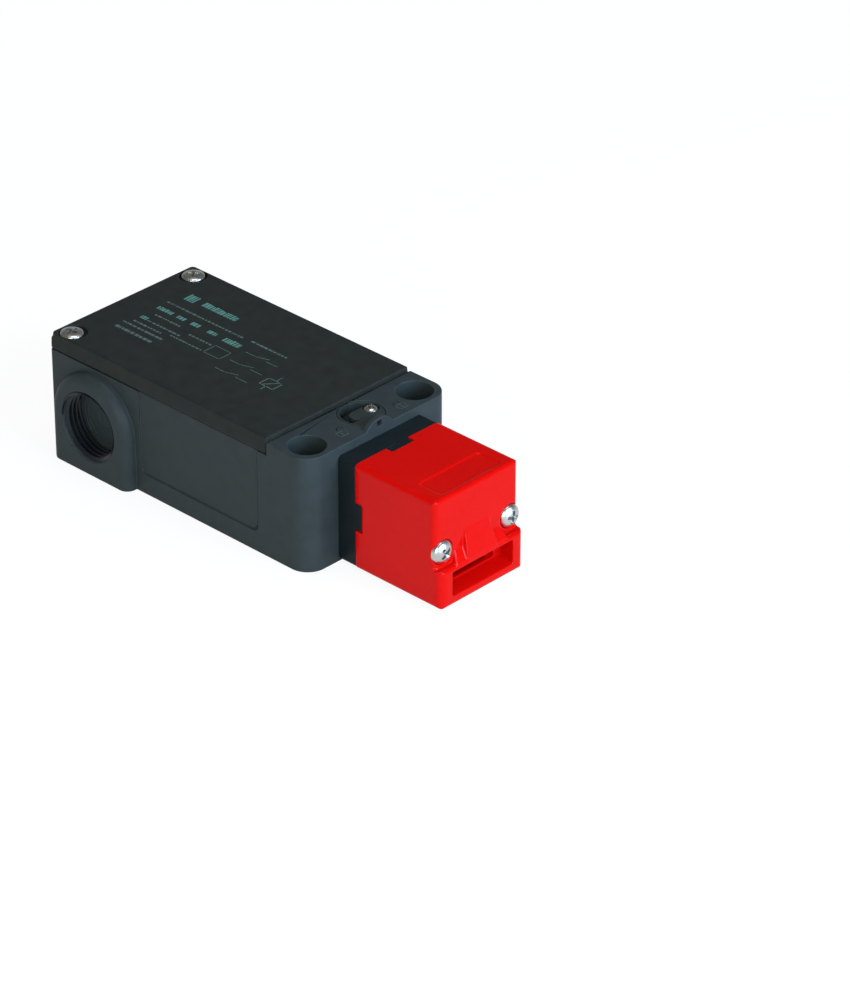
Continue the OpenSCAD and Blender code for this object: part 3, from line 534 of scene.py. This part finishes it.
headLook = {
    "cell": 0.20,
    "share": 0.40,
    # Depth of the screws' seats in the picture and in the solids, height of the solids' screw
    # heads, radius of each pocket with some overlap, and how far a fill reaches below its floor.
    "seatDepth": 1.1,
    "solidDepth": 2.4,
    "screwH": 2.5,
    "pocketR": 3.75,
    "sink": 0.4,
    "columns": 120,
    # Upright front edges of the face and the lip: front x, half width, lowest and highest z,
    # radius. The slack keeps the roll off what stands further out.
    "uprights": [(41.6, 15.75, 12.1, 40, 1.7), (44.0, 15.75, -1, 11.95, 2.4)],
    "frontSlack": 0.2,
}


def coverRims(look):
    # A ring between the round pocket and a rectangle with one rounded corner, as tall as the
    # pocket. The pocket widens away from the corner, which lies at 135 degrees.
    low, high = nodeBox("cover_screws")
    coverLow, coverHigh = nodeBox("cover")
    headR = (high[0] - low[0]) / 2 / mm
    middleX, middleY = (low[0] + high[0]) / 2 / mm, high[1] / mm - headR
    rearReach, top = middleX - coverLow[0] / mm, coverHigh[2] / mm
    a = np.arange(look["columns"]) * 2 * np.pi / look["columns"]
    direction = np.stack([np.cos(a), np.sin(a)], 1)
    inwards = (1 - np.cos(a - np.pi * 0.75)) / 2
    pocketR = look["pocketR"] + look["pocketWider"] * inwards ** look["widerPower"]
    inner = direction * pocketR[:, None]
    rows = []
    for z in (top, top - look["pocketDepth"] - look["sink"]):
        leanIn = look["leanIn"] / look["leanH"] * (z - top + look["leanH"])
        sideReach = coverHigh[1] / mm - leanIn - middleY
        reachX = np.where(direction[:, 0] < 0, rearReach, look["body"])
        reachY = np.where(direction[:, 1] > 0, sideReach, look["body"])
        far = np.minimum(reachX / np.maximum(abs(direction[:, 0]), 1e-6),
                         reachY / np.maximum(abs(direction[:, 1]), 1e-6))
        outer = direction * far[:, None]
        hub = np.array([look["cornerR"] - rearReach, sideReach - look["cornerR"]])
        inCorner = (outer[:, 0] < hub[0]) & (outer[:, 1] > hub[1])
        spoke = outer - hub
        arc = hub + spoke / np.linalg.norm(spoke, axis=1, keepdims=True) * look["cornerR"]
        outer = np.where(inCorner[:, None], arc, outer)
        pair = [inner, outer] if z == top else [outer, inner]
        rows += [np.column_stack([row, np.full(len(a), z)]) for row in pair]
    rows = np.stack(rows)
    rims = []
    for sign in sides.values():
        points = (rows + np.array([middleX, middleY, 0])) * np.array([1, sign, 1]) * mm
        rims.append((points.reshape(-1, 3), ringFaces(4, look["columns"], closeRows=True)))
    return rims


def headSeats(look):
    # A disc on the floor of each head screw pocket, cut off at the head's side.
    low, high = nodeBox("head_screws")
    headHigh = nodeBox("key_head")[1]
    screwR = (high[2] - low[2]) / 2 / mm
    middleY, middleZ = high[1] / mm - screwR, (low[2] + high[2]) / 2 / mm
    floorX = high[0] / mm - look["screwH"]
    a = np.arange(look["columns"]) * 2 * np.pi / look["columns"]
    outward = np.maximum(np.cos(a), 1e-6)
    reach = np.minimum(look["pocketR"], (headHigh[1] / mm - middleY) / outward)
    outline = np.stack([0 * a, np.cos(a) * reach, np.sin(a) * reach], 1)
    rise = look["solidDepth"] - look["seatDepth"]
    rows = np.stack([0 * outline, outline, outline, 0 * outline])
    rows[:, :, 0] += np.array([-look["sink"], -look["sink"], rise, rise])[:, None]
    seats = []
    for sign in sides.values():
        points = (rows + np.array([floorX, middleY, middleZ])) * np.array([1, sign, 1]) * mm
        seats.append((points.reshape(-1, 3), ringFaces(4, look["columns"])))
    return seats


bevelEdges("housing", "housingShell", "housingPolymer", housingLook)
bevelEdges("collar", "collarShell", "collarPolymer", collarLook)
meltEdges("cover", "coverShell", "coverPolymer", coverLook,
          fills=coverRims(coverLook))
meltEdges("key_head", "headCasting", "redPaint", headLook, fills=headSeats(headLook))
meltEdges("release_rotor", "rotorGrip", "rotorPolymer", rotorLook,
          body="release_rotor")
print("soft edges done")


# screws

screwLook = {
    "columns": 96,
    # Height of the straight rim as a share of the head's, and the two powers of the dome's curve.
    "rimShare": 0.16,
    "domePowers": (2.4, 0.55),
    # Star recess: reach as a share of the head's radius, slope of its bars, depth as a share of
    # the dome, and rows of faces from its middle: share of the outline, rise above the floor.
    "recessReach": 0.56,
    "recessSlope": math.tan(math.radians(14)),
    "recessDepth": 0.55,
    "recessRows": [(0, 0), (0.45, 0.06), (0.80, 0.2)],
    "headRows": (0.07, 0.2, 0.35, 0.5, 0.65, 0.8, 0.9, 0.96, 1.0),
    "shankChamfer": 0.4,
}
# Sizes in millimetres and turns of the recess in degrees. A head radius or a rim height that isn't
# given comes from the node's box or from the share above.
screwSizes = {
    "cover": {"headR": 3.3, "headH": 1.85, "rimH": 1.0, "seatDrop": 2.4, "shankR": 1.75,
              "turn": 20, "sideTurn": 14},
    "head": {"headH": 2.5, "rimH": 0.7, "shankR": 1.75, "turn": 12, "sideTurn": -25},
    "release": {"headH": 1.5, "shankR": 1.0, "turn": 25},
    "terminal": {"headR": 2.0, "headH": 1.3, "shankR": 1.2, "rowTurn": 30, "sideTurn": 10},
}


def screwSurface(headR, shankL, turn, size, look):
    # Rows of radius and height from the middle of the recess over the dome and down the shank.
    headH, shankR = size["headH"], size["shankR"]
    rimH = size.get("rimH", look["rimShare"] * headH)
    edgePower, fullPower = look["domePowers"]
    angles = np.arange(look["columns"]) * 2 * np.pi / look["columns"]
    fold = (angles + np.pi / 4) % (np.pi / 2) - np.pi / 4
    reach = look["recessReach"] * headR
    bar = reach * look["recessSlope"]
    outline = np.minimum(reach / np.cos(fold), bar / np.maximum(np.abs(np.sin(fold)), 1e-6))

    def dome(r):
        return rimH + (headH - rimH) * (1 - np.clip(r / headR, 0, 1) ** edgePower) ** fullPower

    depth = headH - rimH
    floorH = headH - look["recessDepth"] * depth
    radii = [share * outline for share, rise in look["recessRows"]] + [outline]
    heights = [0 * outline + floorH + rise * depth for share, rise in look["recessRows"]]
    heights.append(dome(outline))
    for step in look["headRows"]:
        ring = outline + (headR - outline) * step
        radii.append(ring)
        heights.append(dome(ring))
    chamfer = look["shankChamfer"]
    shank = [(headR, 0), (shankR, 0), (shankR, chamfer - shankL), (shankR - chamfer, -shankL),
             (0, -shankL)]
    for r, h in shank:
        radii.append(0 * outline + r)
        heights.append(0 * outline + h)
    return np.array(radii), np.array(heights), angles[None, :] + math.radians(turn)


def addScrew(name, seat, axis, headR, shankL, turn, size, body="switch_body"):
    radii, heights, angles = screwSurface(headR, shankL, turn, size, screwLook)
    points = turnedPoints(radii, heights, angles, seat, axis)
    # The recess faces take the darker zinc finish: painted shade in the recess.
    recess = (len(screwLook["recessRows"]) * screwLook["columns"], "recessPaintedShade")
    return addPiece(name, points, ringFaces(*radii.shape), "zincScrew", body,
                    firstFaces=recess)


def addCoverScrews(size):
    # Two screws in the pockets at the cover's rear corners.
    low, high = nodeBox("cover_screws")
    boxR = (high[0] - low[0]) / 2
    seatDrop = size["seatDrop"]
    for side, sign in sides.items():
        seat = ((low[0] + high[0]) / 2, sign * (high[1] - boxR), high[2] - seatDrop * mm)
        screw = addScrew("coverScrew." + side, seat, (0, 0, 1), size["headR"],
                         (high[2] - low[2]) / mm - seatDrop, size["turn"] + size["sideTurn"] * sign,
                         size)
        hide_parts("cover_screws")


def addHeadScrews(size):
    # Two long screws through the head and the collar, with their heads in the front face.
    low, high = nodeBox("head_screws")
    headR = (high[2] - low[2]) / 2
    seatDrop = headLook["screwH"] - headLook["solidDepth"] + headLook["seatDepth"]
    for side, sign in sides.items():
        seat = (high[0] - seatDrop * mm, sign * (high[1] - headR), (low[2] + high[2]) / 2)
        screw = addScrew("headScrew." + side, seat, (1, 0, 0), headR / mm,
                         (high[0] - low[0]) / mm - seatDrop, size["turn"] + size["sideTurn"] * sign,
                         size)
        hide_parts("head_screws")


def addReleaseScrew(size):
    # The small screw beside the grip bar, which turns with the rotor.
    low, high = nodeBox("release_screw")
    headR = (high[0] - low[0]) / 2
    headH = size["headH"]
    seat = ((low[0] + high[0]) / 2, (low[1] + high[1]) / 2, high[2] - headH * mm)
    screw = addScrew("releaseScrew", seat, (0, 0, 1), headR / mm, (high[2] - low[2]) / mm - headH,
                     size["turn"], size, body="release_rotor")
    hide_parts("release_screw")


def addTerminalScrews(size):
    # Four clamp screws on the contact strips.
    low, high = nodeBox("terminal_screws")
    headR, headH = size["headR"], size["headH"]
    for index, x in enumerate((low[0] + headR * mm, high[0] - headR * mm)):
        for side, sign in sides.items():
            seat = (x, sign * (high[1] - headR * mm), high[2] - headH * mm)
            turn = size["rowTurn"] * index + size["sideTurn"] * sign
            screw = addScrew(f"terminalScrew.{side}{index + 1}", seat, (0, 0, 1), headR,
                             (high[2] - low[2]) / mm - headH, turn, size)
            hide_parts("terminal_screws")


addCoverScrews(screwSizes["cover"])
addHeadScrews(screwSizes["head"])
addReleaseScrew(screwSizes["release"])
addTerminalScrews(screwSizes["terminal"])
print("screws done")


# cable entries

entryLook = {
    # Place of the near and far bores from the rear wall, and their size, in millimetres.
    "rearDistance": 17.9,
    "height": 14.7,
    "boreR": 10.0,
    "depth": 7.0,
    # The ridge: height, half widths of its root and crest, how far both lie inside the wall, first
    # and last depth, least depth below the mouth, and turns over which it fades.
    "pitch": 1.5,
    "ridge": 0.92,
    "ridgeHalf": 0.71,
    "crestHalf": 0.12,
    "rootSink": 0.12,
    "crestSink": 0.06,
    "start": 0.30,
    "end": 6.6,
    "mouthGap": 0.04,
    "fade": 0.35,
    "stepsPerTurn": 90,
    # Radii of the score rings, and the radius and depth offsets of their four-sided section.
    "seats": (3.2, 7.4, 8.6),
    "ringAcross": (-0.28, -0.12, 0.12, 0.28),
    "ringDepths": (0.05, -0.10, -0.10, 0.05),
    "ringColumns": 96,
}


def threadSurface(look):
    # A ridge carried round a helix: its five-sided section fades out at both ends.
    turns = (look["end"] - look["start"]) / look["pitch"]
    t = np.linspace(0, turns, int(turns * look["stepsPerTurn"]))[:, None]
    fade = np.clip(np.minimum(t, turns - t) / look["fade"], 0, 1)
    fade = fade * fade * (3 - 2 * fade)
    base = look["boreR"] + look["rootSink"]
    crest = look["boreR"] + look["crestSink"] - look["ridge"] * fade
    rootHalf, crestHalf = look["ridgeHalf"], look["crestHalf"]
    across = np.array([-rootHalf, -crestHalf, crestHalf, rootHalf, 0])
    inner = np.array([0, 1, 1, 0, 0])
    radii = np.where(inner[None, :] > 0, crest, base)
    heights = np.maximum(look["start"] + look["pitch"] * t + across[None, :], look["mouthGap"])
    return radii, heights, 2 * np.pi * t + 0 * heights


def addEntry(name, mouth, axis, look):
    # Thread ridges of one cable entry and the score rings on its knock-out wall.
    radii, heights, angles = threadSurface(look)
    points = turnedPoints(radii, heights, angles, mouth, axis)
    faces = ringFaces(*radii.shape)
    section = radii.shape[1]
    caps = [list(range(section)), list(range(len(points) - section, len(points)))]
    # The ridges take the darker thread finish: painted shade inside the bore.
    addPiece("thread." + name, points, faces.tolist() + caps, "threadPaintedShade")
    rows, columns = len(look["ringAcross"]), look["ringColumns"]
    around = np.arange(columns) * 2 * np.pi / columns
    rings, ringQuads = [], []
    for seatR in look["seats"]:
        radii = seatR + np.array(look["ringAcross"])[:, None]
        heights = look["depth"] + np.array(look["ringDepths"])[:, None]
        first = len(rings) * rows * columns
        rings.append(turnedPoints(radii, heights, around[None, :], mouth, axis))
        ringQuads.append(ringFaces(rows, columns, closeRows=True) + first)
    addPiece("knockoutRings." + name, np.concatenate(rings), np.concatenate(ringQuads),
             "housingPolymer")


housingLow, housingHigh = nodeBox("housing")
entryX = housingLow[0] + entryLook["rearDistance"] * mm
entryZ = entryLook["height"] * mm
addEntry("near", (entryX, housingLow[1], entryZ), (0, 1, 0), entryLook)
addEntry("far", (entryX, housingHigh[1], entryZ), (0, -1, 0), entryLook)
addEntry("rear", (housingLow[0], 0, entryZ), (1, 0, 0), entryLook)
print("cable entries done")


# print on the cover and symbols on the front block

printLook = {
    # Each row of short bars: first and last x, y of its middle, height of the bars.
    "rows": [
        (-80.8, -51.4, 6.9, 0.75),
        (-48.3, -34.2, 7.2, 0.80),
        (-77.9, -67.7, -0.4, 0.75),
        (-63.2, -54.6, -1.8, 0.75),
        (-77.0, -64.5, -4.1, 0.75),
        (-81.6, -66.5, -8.8, 0.85),
        (-79.8, -68.3, -6.6, 0.75),
        (-66.5, -54.6, -5.6, 0.65),
        (-81.3, -67.5, -11.8, 1.15),
    ],
    # Fields of upright bars: first and last x, first and last y.
    "fields": [
        (-78.9, -75.2, 11.0, 15.0),
        (-72.6, -59.8, 11.7, 14.1),
        (-80.4, -74.6, 2.3, 4.0),
        (-72.7, -69.5, 2.3, 4.0),
        (-67.3, -64.1, 2.3, 4.0),
        (-60.8, -57.6, 2.3, 4.0),
        (-54.5, -48.4, 1.9, 4.2),
        (-79.9, -77.3, -4.4, -2.8),
    ],
    "frame": (-53.6, -47.6, -5.7, -1.1),
    # Ranges of the bars: length, share of the row's height and gap in rows; width, share of the
    # field's height left free and gap in fields; and the shortest rest that still gets a bar.
    "rowLength": (0.35, 1.5),
    "rowHeight": (0.75, 1.0),
    "rowGap": (0.18, 0.55),
    "rowRest": 0.4,
    "fieldWidth": (0.4, 0.95),
    "fieldLift": (0, 0.18),
    "fieldGap": (0.22, 0.4),
    "fieldRest": 0.2,
    # The middle lines of the three contact pictures, the rise of the blade, the gap before the
    # second lead, and the place of the little ring from the blade's foot with its radius.
    "diagramRows": (2.0, -3.9, -9.5),
    "diagramX": (-45.1, -41.4, -37.6, -33.3),
    "bladeRise": 1.3,
    "leadGap": 0.2,
    "ringPlace": (1.0, 1.6),
    "ringR": 0.55,
    # The coil's frame, its line width as a share of the others', the slant's distance from the
    # corners, and the lengths of the leads above and below.
    "coilFrame": (-30.6, -25.6, -7.4, -3.6),
    "coilWidth": 1.3,
    "coilSlant": 0.8,
    "coilLeads": (2.4, 1.8),
    "inkWidth": 0.22,
    "inkRise": 0.03,
    "inkSink": 0.06,
    "barSeed": 7,
}
# How far each stroke of a path runs on at both ends, as a share of its width.
strokeReach = 0.45


def strokePoints(starts, ends, widths, low, high):
    # A flat box along each segment from start to end, as wide as given, between two heights.
    starts, ends = np.array(starts, float), np.array(ends, float)
    along = ends - starts
    lengths = np.linalg.norm(along, axis=1, keepdims=True)
    along = along / lengths
    side = np.stack([-along[:, 1], along[:, 0]], 1) * np.array(widths, float)[:, None] / 2
    ring = np.stack([starts - side, ends - side, ends + side, starts + side], 1)
    lowRing = np.concatenate([ring, np.full(ring.shape[:2] + (1,), low)], 2)
    highRing = np.concatenate([ring, np.full(ring.shape[:2] + (1,), high)], 2)
    points = np.concatenate([lowRing, highRing], 1).reshape(-1, 3)
    box = np.array([(3, 2, 1, 0), (4, 5, 6, 7), (0, 1, 5, 4),
                    (1, 2, 6, 5), (2, 3, 7, 6), (3, 0, 4, 7)])
    faces = (box[None] + 8 * np.arange(len(starts))[:, None, None]).reshape(-1, 4)
    return points, faces


def pathStrokes(path, width):
    # The segments of an open path, each a little longer than its chord so that corners close.
    path = np.array(path, float)
    chord = path[1:] - path[:-1]
    reach = chord / np.linalg.norm(chord, axis=1, keepdims=True) * width * strokeReach
    return list(zip(path[:-1] - reach, path[1:] + reach, [width] * len(chord)))


def framePath(x0, x1, y0, y1):
    return [(x0, y0), (x1, y0), (x1, y1), (x0, y1), (x0, y0)]


def rowStrokes(x0, x1, y, height, chance, look):
    # A row of bars of uneven length and height with small gaps.
    strokes = []
    x = x0
    while x < x1 - look["rowRest"]:
        length = min(chance.uniform(*look["rowLength"]), x1 - x)
        strokes.append(((x, y), (x + length, y), height * chance.uniform(*look["rowHeight"])))
        x += length + chance.uniform(*look["rowGap"])
    return strokes


def fieldStrokes(x0, x1, y0, y1, chance, look):
    # A field of upright bars of uneven width with narrow gaps.
    strokes = []
    x = x0
    while x < x1 - look["fieldRest"]:
        width = min(chance.uniform(*look["fieldWidth"]), x1 - x)
        lift = (y1 - y0) * chance.uniform(*look["fieldLift"])
        strokes.append(((x + width / 2, y0), (x + width / 2, y1 - lift), width))
        x += width + chance.uniform(*look["fieldGap"])
    return strokes


def diagramStrokes(look):
    # Each contact picture: a lead, a lifted blade with its little ring, and a second lead.
    strokes = []
    x0, x1, x2, x3 = look["diagramX"]
    width, ringR = look["inkWidth"], look["ringR"]
    ringX, ringY = look["ringPlace"]
    turn = np.linspace(0, 2 * np.pi, 17)
    for y in look["diagramRows"]:
        strokes += pathStrokes([(x0, y), (x1, y)], width)
        strokes += pathStrokes([(x1, y), (x2, y + look["bladeRise"])], width)
        strokes += pathStrokes([(x2 + look["leadGap"], y), (x3, y)], width)
        ring = np.stack([x1 + ringX + ringR * np.cos(turn), y + ringY + ringR * np.sin(turn)], 1)
        strokes += pathStrokes(ring, width)
    return strokes


def coilStrokes(look):
    # The coil's frame with a slanted stroke and a lead above and below.
    x0, x1, y0, y1 = look["coilFrame"]
    middle, slant = (x0 + x1) / 2, look["coilSlant"]
    above, below = look["coilLeads"]
    width = look["inkWidth"] * look["coilWidth"]
    strokes = pathStrokes(framePath(x0, x1, y0, y1), width)
    strokes += pathStrokes([(x0 + slant, y0), (x1 - slant, y1)], width)
    strokes += pathStrokes([(middle, y1), (middle, y1 + above)], width)
    strokes += pathStrokes([(middle, y0), (middle, y0 - below)], width)
    return strokes


def addStrokes(name, strokes, finishName, top, rise, sink):
    starts, ends, widths = zip(*strokes)
    points, faces = strokePoints(starts, ends, widths, -sink, rise)
    points = points * mm + np.array((0, 0, top))
    addPiece(name, points, faces, finishName)


def addCoverPrint(look):
    chance = np.random.default_rng(look["barSeed"])
    ink = {"dimInk": [], "brightInk": []}
    for row in look["rows"]:
        ink["dimInk"] += rowStrokes(*row, chance, look)
    for field in look["fields"]:
        ink["brightInk"] += fieldStrokes(*field, chance, look)
    ink["dimInk"] += pathStrokes(framePath(*look["frame"]), look["inkWidth"])
    ink["dimInk"] += diagramStrokes(look) + coilStrokes(look)
    top = nodeBox("cover")[1][2]
    for inkName, strokes in ink.items():
        addStrokes("coverPrint." + inkName, strokes, inkName, top, look["inkRise"], look["inkSink"])


markLook = {
    # The middle of each symbol on the front block, and how far its shackle is swung open.
    "marks": [((2.4, -9.6), 1.3), ((3.4, 11.6), 0.0)],
    "width": 0.24,
    # Half sizes of the body along x and y, radius of the shackle's arc, length of its straight
    # part, its drift when it is open, and the short slot in the body with its own line width.
    "bodyHalf": (1.1, 1.5),
    "shackleR": 0.95,
    "shackleL": 0.5,
    "openDrift": 0.3,
    "slotHalf": 0.4,
    "slotWidth": 1.6,
    "blockTop": 34.4,
    "rise": 0.08,
    "sink": 0.1,
}


def addBlockMarks(look):
    # Each symbol is a small square body under a half-round shackle, open or shut.
    strokes = []
    turn = np.linspace(0, np.pi, 13)
    halfX, halfY = look["bodyHalf"]
    width, r, straight, slot = (look[key] for key in ("width", "shackleR", "shackleL", "slotHalf"))
    for (x, y), swing in look["marks"]:
        strokes += pathStrokes(framePath(x - halfX, x + halfX, y - halfY, y + halfY), width)
        arc = np.stack([x - halfX - straight - r * np.sin(turn) - look["openDrift"] * swing,
                        y + swing + r * np.cos(turn)], 1)
        firstFoot = (x - halfX, y + swing + r)
        lastFoot = (x - halfX - straight * swing, y + swing - r)
        strokes += pathStrokes([firstFoot, *arc.tolist(), lastFoot], width)
        strokes += pathStrokes([(x - slot, y), (x + slot, y)], width * look["slotWidth"])
    addStrokes("blockMarks", strokes, "faintInk", look["blockTop"] * mm, look["rise"], look["sink"])


addCoverPrint(printLook)
addBlockMarks(markLook)
print("print done")


# coil winding

# Sizes in millimetres; the dip between turns is a share of the wire, with a power for its curve.
coilLook = {"wire": 0.42, "dip": 0.4, "dipPower": 0.6, "innerR": 4.9, "stepsPerWire": 8,
            "columns": 120}


def addCoilTurns(look):
    # A tube about the armature's axis whose outer radius dips between neighbouring turns of wire.
    low, high = nodeBox("coil_winding")
    centre = (low + high) / 2
    outer = (high[2] - low[2]) / 2 / mm
    length = (high[1] - low[1]) / mm
    count = int(length / look["wire"])
    t = np.linspace(0, count, count * look["stepsPerWire"] + 1)
    bulge = np.abs(np.sin(np.pi * t))
    radii = outer - look["wire"] * look["dip"] * (1 - bulge ** look["dipPower"])
    inner = look["innerR"]
    profileR = np.concatenate([[inner], radii, [inner]])[:, None]
    profileH = np.concatenate([[0], t / count * length, [length]])[:, None] - length / 2
    angles = np.arange(look["columns"]) * 2 * np.pi / look["columns"]
    points = turnedPoints(profileR, profileH, angles[None, :], centre, (0, 1, 0))
    faces = ringFaces(len(profileR), look["columns"], closeRows=True)
    piece = addPiece("coilTurns", points, faces, "copperWinding",
                     sharp=80)
    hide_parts("coil_winding")


addCoilTurns(coilLook)
print("coil done")
